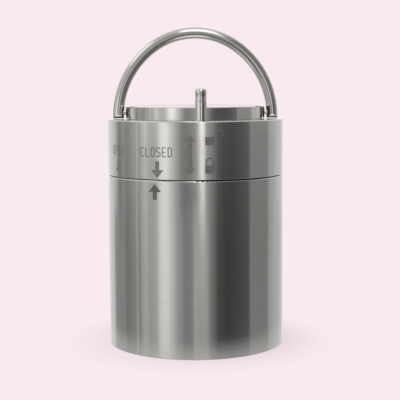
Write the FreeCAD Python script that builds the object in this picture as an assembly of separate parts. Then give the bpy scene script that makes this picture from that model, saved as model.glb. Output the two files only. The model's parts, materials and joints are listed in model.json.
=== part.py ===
import FreeCAD, Part
import math
import os

from FreeCAD import Vector

# A small stainless liquid nitrogen dewar: a vacuum flask in a straight round casing, closed by a
# lid with an insulating plug. A collar turns a little over 30 degrees to lock the lid on a
# bayonet, a pin in the collar stops it turning back, and a bail folds round the lid's boss.
# Millimetres. +Z is up, the front is -Y, and the origin is the middle of the base.
# An azimuth is an angle in degrees from the front, positive towards +X.

# ---- driving dimensions -----------------------------------------------------------------

CASING_R = 63.5          # 5 inch tube
CASING_WALL = 1.5
CASING_TOP = 122.8       # height of the seam under the collar
SEAM_GAP = 0.5
COLLAR_TOP = 162.8
HUB_TOP = 171.8
BOSS_R = 49.0
EDGE_BREAK = 0.5         # chamfer on the boss and the neck
EDGE_ROUND = 0.9         # rounding of the casing's and the collar's top edges

BASE_RECESS = 6.0        # depth from the casing's foot to the base plate
BASE_THICK = 2.0
PAD_OPENING_R = 22.0
PORT_R = 5.0
PORT_BORE_R = 3.5
PORT_END = 2.2

FLASK_R = 52.0
FLASK_WALL = 1.2
FLASK_BOTTOM = 18.0
FLASK_SHOULDER = 90.0    # where the shoulder starts to close
FLASK_SPIGOT_TOP = 104.0
NECK_R = 42.0            # outside of the thin neck tube
NECK_WALL = 0.8
NECK_TUBE_BOTTOM = 100.0
NECK_TOP = 149.4
NECK_RING_R = 47.0       # outside of the ring that stands round the neck tube
NECK_PLATE_THICK = 10.0

LUG_COUNT = 4
LUG_WIDTH = 30.0         # degrees
LUG_FIRST_AZIMUTH = 45.0
LUG_HEIGHT = 5.0
NECK_LUG_BOTTOM = CASING_TOP + 14.0
NECK_LUG_R = 50.7
LUG_GAP = 0.5            # between a neck lug and the collar lug under it
COLLAR_TURN = 33.0       # degrees from closed to open

COLLAR_BORE_R = 51.2
COLLAR_LUG_R = 47.4
RETAINING_RING_R = 52.0
RETAINING_RING_BORE_R = 49.4
RETAINING_RING_HEIGHT = 8.0
CIRCLIP_THICK = 1.0
CIRCLIP_GAP = 0.4        # under the hub's flange

HUB_FLANGE_R = 50.9
HUB_FLANGE_BOTTOM = 151.4
HUB_FLANGE_TOP = 153.7
HUB_CUP_R = 46.2
HUB_FLOOR_TOP = 162.0
HUB_FLOOR_THICK = 3.0
HUB_POCKET_R = 43.9
COVER_R = 47.2           # plate that closes the top of the hub's cup
COVER_THICK = 1.1
COVER_DROP = 0.2         # below the hub's rim
COVER_HOLE_R = 7.5
COVER_SCREW_CIRCLE_R = 42.8
COVER_SCREW_COUNT = 3
COVER_SCREW_R = 1.25

PLUG_R = 39.8
PLUG_BOTTOM = 96.0
PLUG_FLANGE_R = 43.6
PLUG_FLANGE_THICK = 3.0
PLUG_DISC_THICK = 3.5
PLUG_SCREW_CIRCLE_R = 41.0
PLUG_SCREW_COUNT = 4
PLUG_SCREW_R = 2.0
PLUG_WALL = 1.0
PLUG_FLOOR = 1.2
PLUG_ROUND = 3.0
VENT_TUBE_R = 4.0
VENT_BORE_R = 2.8

PIN_R = 4.0
PIN_AZIMUTH = 3.8
PIN_CIRCLE_R = 57.5
PIN_TOP = 184.6          # raised, which is unlocked
PIN_BOTTOM = 124.9
PIN_TRAVEL = 8.0
PIN_BUSH_R = 5.0
PIN_BUSH_LENGTH = 8.0
PIN_CLIP_THICK = 0.8
PIN_CLIP_GROOVE_R = 3.5
DETENT_BOTTOM = 136.0
DETENT_HEIGHT = 2.0
RUNNING_GAP = 0.05       # radial clearance of every turning or sliding fit

PIVOT_Z = 167.3
BAIL_ROD_R = 4.0
BAIL_HALF_SPAN = 55.6    # centreline of a leg
BAIL_CROWN_TOP = 224.06  # centreline
BAIL_CROWN_R = 51.4      # centreline radius of the top arc
BAIL_SIDE_R = 62.0       # centreline radius of the arc from the top down to a leg
BAIL_END_R = 4.2         # the legs' ends are rounded about the pivot
BAIL_SEAT_R = 2.4        # counterbore in the inner side of a leg
BAIL_SEAT_X = 53.0
PIVOT_SHANK_R = 1.8
PIVOT_SCREW_END = 57.4
PIVOT_BUSH_R = 2.6
PIVOT_BUSH_FACE = 49.9
PIVOT_BUSH_FLANGE_R = 4.0
PIVOT_SPOT_X = 48.7      # flat on the boss round a pivot

# ---- sizes that follow from them --------------------------------------------------------

BORE_R = CASING_R - CASING_WALL
BASE_TOP = BASE_RECESS + BASE_THICK
COLLAR_BOTTOM = CASING_TOP + SEAM_GAP
COLLAR_LUG_TOP = NECK_LUG_BOTTOM - LUG_GAP
RETAINING_RING_BOTTOM = COLLAR_TOP - RETAINING_RING_HEIGHT
HUB_FLOOR_BOTTOM = HUB_FLOOR_TOP - HUB_FLOOR_THICK
PLUG_DISC_BOTTOM = HUB_FLOOR_BOTTOM - PLUG_DISC_THICK
PLUG_FLANGE_BOTTOM = PLUG_DISC_BOTTOM - PLUG_FLANGE_THICK
COVER_TOP = HUB_TOP - COVER_DROP
COVER_BOTTOM = COVER_TOP - COVER_THICK
CIRCLIP_TOP = HUB_FLANGE_BOTTOM - CIRCLIP_GAP
CIRCLIP_BOTTOM = CIRCLIP_TOP - CIRCLIP_THICK
PIN_CLIP_TOP = RETAINING_RING_BOTTOM - 0.3

UP = Vector(0, 0, 1)
RIGHT = Vector(1, 0, 0)
CENTRE = Vector(0, 0, 0)


# ---- ways of making a solid -------------------------------------------------------------

def trimmed_corner(before, corner, after):
    """Gives where an outline leaves for a corner's arc, the arc's middle and where it ends."""
    point = Vector(corner[0], 0, corner[1])
    if len(corner) == 2:
        return point, None, point
    radius = corner[2]
    to_before = (Vector(before[0], 0, before[1]) - point).normalize()
    to_after = (Vector(after[0], 0, after[1]) - point).normalize()
    half_angle = to_before.getAngle(to_after) / 2
    setback = radius / math.tan(half_angle)
    bisector = (to_before + to_after).normalize()
    middle = point + bisector * (radius / math.sin(half_angle) - radius)
    return point + to_before * setback, middle, point + to_after * setback


def turned(corners):
    """Turns a closed outline of (radius, height) corners; a third value rounds a corner."""
    count = len(corners)
    trims = []
    for i in range(count):
        trims.append(trimmed_corner(corners[i - 1], corners[i], corners[(i + 1) % count]))
    edges = []
    for i in range(count):
        arc_start, arc_middle, arc_end = trims[i]
        if arc_middle is not None:
            edges.append(Part.Arc(arc_start, arc_middle, arc_end).toShape())
        edges.append(Part.LineSegment(arc_end, trims[(i + 1) % count][0]).toShape())
    return Part.Face(Part.Wire(edges)).revolve(CENTRE, UP, 360)


def ring(outer_r, inner_r, bottom, top):
    return turned([(inner_r, bottom), (outer_r, bottom), (outer_r, top), (inner_r, top)])


def disc(radius, bottom, top):
    return Part.makeCylinder(radius, top - bottom, Vector(0, 0, bottom), UP)


def round_place(circle_r, azimuth, height=0.0):
    """Gives a point at an azimuth on a circle round the axis."""
    angle = math.radians(azimuth)
    return Vector(circle_r * math.sin(angle), -circle_r * math.cos(angle), height)


def sector(outer_r, inner_r, bottom, top, azimuth, width):
    """Makes the part of a ring that is width degrees wide, centred on an azimuth."""
    profile = Part.makePlane(outer_r - inner_r, top - bottom, Vector(inner_r, 0, bottom),
                             Vector(0, -1, 0), RIGHT)
    solid = profile.revolve(CENTRE, UP, width)
    solid.rotate(CENTRE, UP, azimuth - 90 - width / 2)
    return solid


def lugs(outer_r, inner_r, bottom):
    places = [LUG_FIRST_AZIMUTH + i * 360 / LUG_COUNT for i in range(LUG_COUNT)]
    return [sector(outer_r, inner_r, bottom, bottom + LUG_HEIGHT, a, LUG_WIDTH) for a in places]


def hexagon(across_flats, height, start, direction):
    """Makes a hexagonal prism that stands on a point."""
    radius = across_flats / 2 / math.cos(math.radians(30))
    corners = []
    for i in range(7):
        angle = math.radians(60 * i)
        corners.append(Vector(radius * math.cos(angle), radius * math.sin(angle), 0))
    solid = Part.Face(Part.makePolygon(corners)).extrude(Vector(0, 0, height))
    solid.Placement = FreeCAD.Placement(start, FreeCAD.Rotation(UP, direction))
    return solid


def along_x(side, near, far, radius):
    """Makes a cylinder on the pivots' axis, from near to far out from the middle."""
    direction = Vector(side, 0, 0)
    start = Vector(side * near, 0, PIVOT_Z)
    return Part.makeCylinder(radius, far - near, start, direction)


# ---- vessel -----------------------------------------------------------------------------

def outer_casing():
    foot_break = 0.4
    return turned([
        (BORE_R, 0), (CASING_R - foot_break, 0), (CASING_R, foot_break),
        (CASING_R, CASING_TOP, EDGE_ROUND), (BORE_R, CASING_TOP),
    ])


def base_plate():
    return ring(BORE_R, PORT_R, BASE_RECESS, BASE_TOP)


def base_pad():
    edge = 1.0
    return turned([
        (PAD_OPENING_R, 0, edge), (BORE_R, 0), (BORE_R, BASE_RECESS), (PAD_OPENING_R, BASE_RECESS),
    ])


def evacuation_port():
    flange_r = 9.0
    flange_thick = 1.0
    inner_end = BASE_TOP + 4.0
    tube = ring(PORT_R, PORT_BORE_R, PORT_END, inner_end)
    flange = ring(flange_r, PORT_R, BASE_TOP, BASE_TOP + flange_thick)
    return tube.fuse(flange).removeSplitter()


def port_plug():
    return disc(PORT_BORE_R, PORT_END, BASE_TOP)


def port_cap():
    wall = 2.0
    floor_bottom = 1.0
    top = BASE_RECESS - 0.5
    return turned([
        (0, floor_bottom), (PORT_R + wall, floor_bottom, 0.8), (PORT_R + wall, top),
        (PORT_R, top), (PORT_R, PORT_END), (0, PORT_END),
    ])


def inner_flask():
    bore_r = FLASK_R - FLASK_WALL
    spigot_r = NECK_R + FLASK_WALL
    shoulder_end = FLASK_SHOULDER + 7.0
    floor_round = 12.0
    shoulder_round = 8.0
    spigot_round = 4.0
    return turned([
        (0, FLASK_BOTTOM),
        (FLASK_R, FLASK_BOTTOM, floor_round),
        (FLASK_R, FLASK_SHOULDER, shoulder_round),
        (spigot_r, shoulder_end, spigot_round),
        (spigot_r, FLASK_SPIGOT_TOP),
        (NECK_R, FLASK_SPIGOT_TOP),
        (NECK_R, shoulder_end - FLASK_WALL / 2, spigot_round + FLASK_WALL),
        (bore_r, FLASK_SHOULDER - FLASK_WALL / 2, shoulder_round - FLASK_WALL),
        (bore_r, FLASK_BOTTOM + FLASK_WALL, floor_round - FLASK_WALL),
        (0, FLASK_BOTTOM + FLASK_WALL),
    ])


def neck_tube():
    return ring(NECK_R, NECK_R - NECK_WALL, NECK_TUBE_BOTTOM, NECK_TOP)


def pin_hole(azimuth):
    """Makes the hole that the lowered lock pin enters."""
    clearance = 0.3
    depth = 8.0
    start = round_place(PIN_CIRCLE_R, azimuth, CASING_TOP - depth)
    return Part.makeCylinder(PIN_R + clearance, depth + 1, start, UP)


def neck_ring():
    plate_bottom = CASING_TOP - NECK_PLATE_THICK
    root_round = 1.5
    body = turned([
        (NECK_R, plate_bottom), (BORE_R, plate_bottom), (BORE_R, CASING_TOP),
        (NECK_RING_R, CASING_TOP, root_round), (NECK_RING_R, NECK_TOP - EDGE_BREAK),
        (NECK_RING_R - EDGE_BREAK, NECK_TOP), (NECK_R, NECK_TOP),
    ])
    root = 0.5
    body = body.fuse(lugs(NECK_LUG_R, NECK_RING_R - root, NECK_LUG_BOTTOM))
    holes = [pin_hole(PIN_AZIMUTH), pin_hole(PIN_AZIMUTH + COLLAR_TURN)]
    return body.cut(holes).removeSplitter()


def insulation_wrap():
    thickness = 3.5
    return ring(FLASK_R + thickness, FLASK_R, FLASK_BOTTOM + 13, FLASK_SHOULDER - 9)


def getter_pack():
    start = round_place(47.0, 90.0, BASE_TOP)
    return Part.makeCylinder(8.0, 4.0, start, UP)


def flask_support():
    return ring(32.0, 26.0, BASE_TOP, FLASK_BOTTOM)


# ---- lid --------------------------------------------------------------------------------

def plug_screw_places():
    step = 360 / PLUG_SCREW_COUNT
    return [step / 2 + step * i for i in range(PLUG_SCREW_COUNT)]


def plug_screw_holes():
    height = HUB_FLOOR_TOP - PLUG_FLANGE_BOTTOM
    holes = []
    for azimuth in plug_screw_places():
        start = round_place(PLUG_SCREW_CIRCLE_R, azimuth, PLUG_FLANGE_BOTTOM)
        holes.append(Part.makeCylinder(PLUG_SCREW_R, height, start, UP))
    return holes


def cover_screw_places(height):
    step = 360 / COVER_SCREW_COUNT
    return [round_place(COVER_SCREW_CIRCLE_R, i * step, height) for i in range(COVER_SCREW_COUNT)]


def lid_hub():
    """Makes the boss: a cup with a ledge for its cover, on the flange that the collar holds."""
    cup_round = 1.0
    rim_break = 0.3
    ledge_r = COVER_R + 0.2
    pillar_r = 3.9
    pillar_root = 1.0
    tapping_depth = 6.0
    spot_r = PIVOT_BUSH_FLANGE_R + 0.1
    body = turned([
        (VENT_TUBE_R, HUB_FLOOR_BOTTOM), (HUB_POCKET_R, HUB_FLOOR_BOTTOM),
        (HUB_POCKET_R, HUB_FLANGE_BOTTOM), (HUB_FLANGE_R, HUB_FLANGE_BOTTOM),
        (HUB_FLANGE_R, HUB_FLANGE_TOP), (BOSS_R, HUB_FLANGE_TOP),
        (BOSS_R, HUB_TOP - EDGE_BREAK), (BOSS_R - EDGE_BREAK, HUB_TOP),
        (ledge_r + rim_break, HUB_TOP), (ledge_r, HUB_TOP - rim_break),
        (ledge_r, COVER_BOTTOM), (HUB_CUP_R, COVER_BOTTOM),
        (HUB_CUP_R, HUB_FLOOR_TOP, cup_round), (VENT_TUBE_R, HUB_FLOOR_TOP),
    ])
    pillar_bottom = HUB_FLOOR_TOP - pillar_root
    pillars = []
    for place in cover_screw_places(pillar_bottom):
        pillars.append(Part.makeCylinder(pillar_r, COVER_BOTTOM - pillar_bottom, place, UP))
    body = body.fuse([pillar.common(disc(HUB_CUP_R + 1, 0, COVER_BOTTOM)) for pillar in pillars])
    cuts = plug_screw_holes()
    for place in cover_screw_places(COVER_BOTTOM - tapping_depth):
        cuts.append(Part.makeCylinder(COVER_SCREW_R, tapping_depth + 1, place, UP))
    for side in (-1, 1):
        cuts.append(along_x(side, HUB_CUP_R - 2, BOSS_R + 1, PIVOT_BUSH_R))
        cuts.append(along_x(side, PIVOT_SPOT_X, BOSS_R + 1, spot_r))
    return body.cut(cuts).removeSplitter()


def cover_screw():
    """Makes a countersunk screw with its top at the origin."""
    head_r = COVER_SCREW_R + COVER_THICK
    length = COVER_THICK + 5.0
    tip_break = 0.3
    return turned([
        (0, -length), (COVER_SCREW_R - tip_break, -length), (COVER_SCREW_R, tip_break - length),
        (COVER_SCREW_R, -COVER_THICK), (head_r, 0), (0, 0),
    ])


def lid_cover():
    edge = 0.2
    body = turned([
        (COVER_HOLE_R, COVER_BOTTOM), (COVER_R, COVER_BOTTOM), (COVER_R, COVER_TOP - edge),
        (COVER_R - edge, COVER_TOP), (COVER_HOLE_R + edge, COVER_TOP),
        (COVER_HOLE_R, COVER_TOP - edge),
    ])
    screws = []
    for place in cover_screw_places(COVER_TOP):
        screws.append(cover_screw().translated(place))
    return body.cut(screws)


def cover_screws():
    socket_flats = 1.6
    socket_depth = 0.9
    screws = []
    for place in cover_screw_places(COVER_TOP):
        socket = hexagon(socket_flats, socket_depth + 1, place - Vector(0, 0, socket_depth), UP)
        screws.append(cover_screw().translated(place).cut(socket))
    return Part.makeCompound(screws)


def lid_gasket():
    notch_count = 3
    notch_width = 5.0
    notch_depth = 1.0
    inner_r = 44.0
    outer_r = 46.8
    bottom = NECK_TOP + 0.1
    body = ring(outer_r, inner_r, bottom, HUB_FLANGE_BOTTOM)
    notches = []
    for i in range(notch_count):
        notch = Part.makeBox(outer_r, notch_width, notch_depth, Vector(0, -notch_width / 2, bottom))
        notch.rotate(CENTRE, UP, 90 + i * 360 / notch_count)
        notches.append(notch)
    return body.cut(notches)


def plug_disc():
    body = ring(PLUG_FLANGE_R, VENT_TUBE_R, PLUG_DISC_BOTTOM, HUB_FLOOR_BOTTOM)
    return body.cut(plug_screw_holes())


def plug_shell():
    body = turned([
        (VENT_TUBE_R, PLUG_BOTTOM), (PLUG_R, PLUG_BOTTOM, PLUG_ROUND),
        (PLUG_R, PLUG_FLANGE_BOTTOM), (PLUG_FLANGE_R, PLUG_FLANGE_BOTTOM),
        (PLUG_FLANGE_R, PLUG_DISC_BOTTOM), (PLUG_R - PLUG_WALL, PLUG_DISC_BOTTOM),
        (PLUG_R - PLUG_WALL, PLUG_BOTTOM + PLUG_FLOOR, PLUG_ROUND - PLUG_WALL),
        (VENT_TUBE_R, PLUG_BOTTOM + PLUG_FLOOR),
    ])
    return body.cut(plug_screw_holes())


def plug_foam():
    radius = PLUG_R - PLUG_WALL
    body = turned([
        (VENT_TUBE_R, PLUG_BOTTOM + PLUG_FLOOR),
        (radius, PLUG_BOTTOM + PLUG_FLOOR, PLUG_ROUND - PLUG_WALL),
        (radius, PLUG_DISC_BOTTOM), (VENT_TUBE_R, PLUG_DISC_BOTTOM),
    ])
    return body.cut(plug_screw_holes())


def plug_screws():
    head_r = 3.6
    head_height = 2.4
    socket_flats = 2.5
    socket_depth = 1.4
    screws = []
    for azimuth in plug_screw_places():
        place = round_place(PLUG_SCREW_CIRCLE_R, azimuth, HUB_FLOOR_TOP)
        shank_length = HUB_FLOOR_TOP - PLUG_FLANGE_BOTTOM
        shank = Part.makeCylinder(PLUG_SCREW_R, shank_length, place, Vector(0, 0, -1))
        head = turned([
            (0, 0), (head_r, 0), (head_r, head_height, 0.9), (0, head_height),
        ])
        head.translate(place)
        socket_floor = place + Vector(0, 0, head_height - socket_depth)
        socket = hexagon(socket_flats, socket_depth + 1, socket_floor, UP)
        screws.append(head.fuse(shank).cut(socket))
    return Part.makeCompound(screws)


def vent_tube():
    return ring(VENT_TUBE_R, VENT_BORE_R, PLUG_BOTTOM - 0.5, HUB_FLOOR_TOP)


def vent_plug():
    flange_r = 8.0
    flange_top = HUB_FLOOR_TOP + 1.5
    head_flats = 11.0
    head_top = flange_top + 4.0
    stem_bottom = HUB_FLOOR_TOP - 6.0
    passage_r = 1.2
    outlet_z = flange_top + 1.6
    flange = turned([
        (0, HUB_FLOOR_TOP), (flange_r, HUB_FLOOR_TOP), (flange_r, flange_top, 0.6), (0, flange_top),
    ])
    stem = disc(VENT_BORE_R, stem_bottom, HUB_FLOOR_TOP)
    head = hexagon(head_flats, head_top - flange_top, Vector(0, 0, flange_top), UP)
    crown = turned([
        (0, flange_top), (head_flats / 2 + 1.2, flange_top),
        (head_flats / 2 + 1.2, head_top - 0.9), (head_flats / 2, head_top), (0, head_top),
    ])
    body = flange.fuse([stem, head.common(crown)])
    passage = disc(passage_r, stem_bottom, outlet_z)
    outlet = Part.makeCylinder(passage_r, 2 * flange_r, Vector(-flange_r, 0, outlet_z), RIGHT)
    return body.cut([passage, outlet])


def glide_ring():
    return ring(50.8, 49.5, HUB_FLANGE_TOP, RETAINING_RING_BOTTOM - 0.1)


def pivot_bush(side):
    inner_end = HUB_CUP_R - 0.2
    sleeve = along_x(side, inner_end, PIVOT_BUSH_FACE, PIVOT_BUSH_R)
    flange = along_x(side, PIVOT_SPOT_X, PIVOT_BUSH_FACE, PIVOT_BUSH_FLANGE_R)
    bore = along_x(side, inner_end - 1, PIVOT_BUSH_FACE + 1, PIVOT_SHANK_R + RUNNING_GAP)
    return sleeve.fuse(flange).cut(bore)


# ---- collar -----------------------------------------------------------------------------

def pin_bore(radius, bottom, top):
    start = round_place(PIN_CIRCLE_R, PIN_AZIMUTH, bottom)
    return Part.makeCylinder(radius, top - bottom, start, UP)


def locking_collar():
    foot_break = 0.3
    groove_slack = 0.1
    body = turned([
        (COLLAR_BORE_R, COLLAR_BOTTOM), (CASING_R - foot_break, COLLAR_BOTTOM),
        (CASING_R, COLLAR_BOTTOM + foot_break), (CASING_R, COLLAR_TOP, EDGE_ROUND),
        (RETAINING_RING_R, COLLAR_TOP),
        (RETAINING_RING_R, RETAINING_RING_BOTTOM), (COLLAR_BORE_R, RETAINING_RING_BOTTOM),
        (COLLAR_BORE_R, CIRCLIP_TOP + groove_slack),
        (RETAINING_RING_R, CIRCLIP_TOP + groove_slack),
        (RETAINING_RING_R, CIRCLIP_BOTTOM - groove_slack),
        (COLLAR_BORE_R, CIRCLIP_BOTTOM - groove_slack),
    ])
    root = 0.5
    lug_bottom = COLLAR_LUG_TOP - LUG_HEIGHT
    body = body.fuse(lugs(COLLAR_BORE_R + root, COLLAR_LUG_R, lug_bottom))
    return body.cut(pin_bore(PIN_BUSH_R, COLLAR_BOTTOM - 1, COLLAR_TOP + 1)).removeSplitter()


def retaining_ring():
    top = COLLAR_TOP - 0.2
    notch_count = 4
    notch_width = 3.5
    notch_depth = 2.0
    body = turned([
        (RETAINING_RING_BORE_R, RETAINING_RING_BOTTOM), (RETAINING_RING_R, RETAINING_RING_BOTTOM),
        (RETAINING_RING_R, top - 0.3), (RETAINING_RING_R - 0.3, top),
        (RETAINING_RING_BORE_R, top),
    ])
    notches = []
    for i in range(notch_count):
        notch = Part.makeBox(RETAINING_RING_R + 1, notch_width, notch_depth + 1,
                             Vector(0, -notch_width / 2, top - notch_depth))
        notch.rotate(CENTRE, UP, 45 + i * 360 / notch_count)
        notches.append(notch)
    return body.cut(notches)


def hub_circlip():
    inner_r = 48.6
    gap = 8.0
    body = ring(RETAINING_RING_R, inner_r, CIRCLIP_BOTTOM, CIRCLIP_TOP)
    opening = Part.makeBox(gap, RETAINING_RING_R + 1, CIRCLIP_THICK,
                           Vector(-gap / 2, 0, CIRCLIP_BOTTOM))
    return body.cut(opening)


def pin_sleeve(bottom, top):
    return pin_bore(PIN_BUSH_R, bottom, top).cut(pin_bore(PIN_R + RUNNING_GAP, bottom, top))


# ---- lock pin and bail ------------------------------------------------------------------

def lock_pin():
    dome_round = 2.1
    waist_depth = 0.35
    waist_round = 22.0
    waist_top = PIN_TOP - 2.9
    waist_bottom = PIN_TOP - 8.9
    detent_r = PIN_R - 0.3
    tip_break = 0.8
    raised = DETENT_BOTTOM + DETENT_HEIGHT
    lowered = raised + PIN_TRAVEL
    clip_bottom = PIN_CLIP_TOP - PIN_CLIP_THICK
    body = turned([
        (0, PIN_BOTTOM), (PIN_R - tip_break, PIN_BOTTOM), (PIN_R, PIN_BOTTOM + tip_break),
        (PIN_R, DETENT_BOTTOM), (detent_r, DETENT_BOTTOM), (detent_r, raised), (PIN_R, raised),
        (PIN_R, lowered - DETENT_HEIGHT), (detent_r, lowered - DETENT_HEIGHT),
        (detent_r, lowered), (PIN_R, lowered),
        (PIN_R, clip_bottom), (PIN_CLIP_GROOVE_R, clip_bottom),
        (PIN_CLIP_GROOVE_R, PIN_CLIP_TOP), (PIN_R, PIN_CLIP_TOP),
        (PIN_R, waist_bottom),
        (PIN_R - waist_depth, (waist_bottom + waist_top) / 2, waist_round),
        (PIN_R, waist_top),
        (PIN_R, PIN_TOP - 0.2, dome_round), (0, PIN_TOP),
    ])
    body.translate(round_place(PIN_CIRCLE_R, PIN_AZIMUTH))
    return body


def pin_clip():
    outer_r = PIN_BUSH_R - 0.2
    body = pin_bore(outer_r, PIN_CLIP_TOP - PIN_CLIP_THICK, PIN_CLIP_TOP)
    return body.cut(pin_bore(PIN_CLIP_GROOVE_R, PIN_CLIP_TOP - PIN_CLIP_THICK, PIN_CLIP_TOP))


def bail_path():
    """Makes the bail's centreline: leg, side arc, top arc, side arc, leg."""
    turn = math.asin((BAIL_SIDE_R - BAIL_HALF_SPAN) / (BAIL_SIDE_R - BAIL_CROWN_R))
    crown_z = BAIL_CROWN_TOP - BAIL_CROWN_R
    side_x = BAIL_SIDE_R - BAIL_HALF_SPAN
    side_z = crown_z - (BAIL_SIDE_R - BAIL_CROWN_R) * math.cos(turn)
    leg_z = PIVOT_Z - BAIL_END_R - 1

    def side_point(angle_from_top, side):
        x = BAIL_SIDE_R * math.sin(angle_from_top) - side_x
        return Vector(side * x, 0, side_z + BAIL_SIDE_R * math.cos(angle_from_top))

    level = math.pi / 2
    middle = (turn + level) / 2
    edges = [
        Part.LineSegment(Vector(-BAIL_HALF_SPAN, 0, leg_z), side_point(level, -1)),
        Part.Arc(side_point(level, -1), side_point(middle, -1), side_point(turn, -1)),
        Part.Arc(side_point(turn, -1), Vector(0, 0, BAIL_CROWN_TOP), side_point(turn, 1)),
        Part.Arc(side_point(turn, 1), side_point(middle, 1), side_point(level, 1)),
        Part.LineSegment(side_point(level, 1), Vector(BAIL_HALF_SPAN, 0, leg_z)),
    ]
    return Part.Wire([edge.toShape() for edge in edges]), leg_z


def bail_handle():
    path, leg_z = bail_path()
    section = Part.Wire(Part.makeCircle(BAIL_ROD_R, Vector(-BAIL_HALF_SPAN, 0, leg_z), UP))
    body = path.makePipeShell([section], True, False)
    reach = BAIL_HALF_SPAN + 2 * BAIL_ROD_R
    lower = Part.makeBox(2 * reach, 4 * BAIL_ROD_R, 3 * BAIL_ROD_R,
                         Vector(-reach, -2 * BAIL_ROD_R, PIVOT_Z - 3 * BAIL_ROD_R))
    rounding = Part.makeCylinder(BAIL_END_R, 2 * reach, Vector(-reach, 0, PIVOT_Z), RIGHT)
    cuts = [lower.cut(rounding)]
    for side in (-1, 1):
        cuts.append(along_x(side, BAIL_SEAT_X - BAIL_ROD_R, BAIL_SEAT_X, BAIL_SEAT_R))
        cuts.append(along_x(side, BAIL_SEAT_X - 1, PIVOT_SCREW_END, PIVOT_SHANK_R))
    return body.cut(cuts)


def pivot_screw(side):
    head_outer = HUB_CUP_R - 0.4
    head_thick = 2.6
    head_r = 3.0
    socket_flats = 2.5
    socket_depth = 1.6
    head = along_x(side, head_outer - head_thick, head_outer, head_r)
    shank = along_x(side, head_outer, PIVOT_SCREW_END, PIVOT_SHANK_R)
    socket_start = Vector(side * (head_outer - head_thick - 1), 0, PIVOT_Z)
    socket = hexagon(socket_flats, socket_depth + 1, socket_start, Vector(side, 0, 0))
    return head.fuse(shank).cut(socket)


def pivot_washer(side):
    thickness = 0.6
    outer_r = BAIL_SEAT_R - 0.1
    outer = along_x(side, BAIL_SEAT_X - thickness, BAIL_SEAT_X, outer_r)
    return outer.cut(along_x(side, BAIL_SEAT_X - 2, BAIL_SEAT_X + 1, PIVOT_SHANK_R))


# ---- every node -------------------------------------------------------------------------

def all_nodes():
    lower_bush_bottom = COLLAR_BOTTOM + 0.5
    return {
        "outer_casing": outer_casing(),
        "base_plate": base_plate(),
        "base_pad": base_pad(),
        "evacuation_port": evacuation_port(),
        "port_plug": port_plug(),
        "port_cap": port_cap(),
        "inner_flask": inner_flask(),
        "neck_tube": neck_tube(),
        "neck_ring": neck_ring(),
        "insulation_wrap": insulation_wrap(),
        "getter_pack": getter_pack(),
        "flask_support": flask_support(),
        "lid_hub": lid_hub(),
        "lid_cover": lid_cover(),
        "cover_screws": cover_screws(),
        "lid_gasket": lid_gasket(),
        "plug_disc": plug_disc(),
        "plug_shell": plug_shell(),
        "plug_foam": plug_foam(),
        "plug_screws": plug_screws(),
        "vent_tube": vent_tube(),
        "vent_plug": vent_plug(),
        "glide_ring": glide_ring(),
        "pivot_bush_left": pivot_bush(-1),
        "pivot_bush_right": pivot_bush(1),
        "locking_collar": locking_collar(),
        "retaining_ring": retaining_ring(),
        "hub_circlip": hub_circlip(),
        "pin_bush_upper": pin_sleeve(COLLAR_TOP - PIN_BUSH_LENGTH, COLLAR_TOP),
        "pin_bush_lower": pin_sleeve(lower_bush_bottom, lower_bush_bottom + PIN_BUSH_LENGTH),
        "detent_ring": pin_sleeve(DETENT_BOTTOM, DETENT_BOTTOM + DETENT_HEIGHT),
        "lock_pin": lock_pin(),
        "pin_clip": pin_clip(),
        "bail_handle": bail_handle(),
        "pivot_screw_left": pivot_screw(-1),
        "pivot_screw_right": pivot_screw(1),
        "pivot_washer_left": pivot_washer(-1),
        "pivot_washer_right": pivot_washer(1),
    }


def main():
    os.makedirs("parts", exist_ok=True)
    for name, shape in all_nodes().items():
        shape.exportStep("parts/" + name + ".step")
        solids = len(shape.Solids)
        print(f"{name}: {solids} solid(s), {shape.Volume / 1000:.2f} cm3, valid {shape.isValid()}")


main()
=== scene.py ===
"""The looks of a small stainless liquid nitrogen dewar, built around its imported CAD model."""

import json
import math

import bmesh
import bpy
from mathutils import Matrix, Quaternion, Vector


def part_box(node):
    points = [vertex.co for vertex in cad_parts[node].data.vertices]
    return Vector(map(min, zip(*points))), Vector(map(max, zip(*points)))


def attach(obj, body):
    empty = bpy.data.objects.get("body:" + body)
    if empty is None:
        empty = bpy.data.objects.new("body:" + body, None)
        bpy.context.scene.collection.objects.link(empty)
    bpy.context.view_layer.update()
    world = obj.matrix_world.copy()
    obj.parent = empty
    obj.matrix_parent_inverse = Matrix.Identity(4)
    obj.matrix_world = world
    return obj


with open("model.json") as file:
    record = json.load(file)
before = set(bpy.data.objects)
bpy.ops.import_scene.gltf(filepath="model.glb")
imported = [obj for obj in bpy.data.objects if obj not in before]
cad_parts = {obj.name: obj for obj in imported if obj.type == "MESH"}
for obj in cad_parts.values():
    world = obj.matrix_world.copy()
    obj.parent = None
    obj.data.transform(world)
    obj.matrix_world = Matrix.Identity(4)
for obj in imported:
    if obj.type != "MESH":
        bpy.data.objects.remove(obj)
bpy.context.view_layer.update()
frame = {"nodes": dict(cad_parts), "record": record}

MM = 0.001

# ---- small helpers ----------------------------------------------------------------------


def add(tree, kind, inputs=None, **settings):
    """Adds a node. An input is a value, or the output of another node, which gets linked."""
    node = tree.nodes.new(kind)
    for name, value in settings.items():
        setattr(node, name, value)
    for key, value in (inputs or {}).items():
        if isinstance(value, bpy.types.NodeSocket):
            tree.links.new(value, node.inputs[key])
        else:
            node.inputs[key].default_value = value
    return node


def math_node(tree, operation, *values, clamp=False):
    inputs = dict(enumerate(values))
    return add(tree, "ShaderNodeMath", inputs, operation=operation, use_clamp=clamp).outputs[0]


def remap(tree, value, low, high, to_low=0.0, to_high=1.0):
    """Maps low..high onto to_low..to_high, smoothly and clamped."""
    inputs = {"Value": value, "From Min": low, "From Max": high, "To Min": to_low, "To Max": to_high}
    return add(tree, "ShaderNodeMapRange", inputs, interpolation_type="SMOOTHSTEP").outputs[0]


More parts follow.
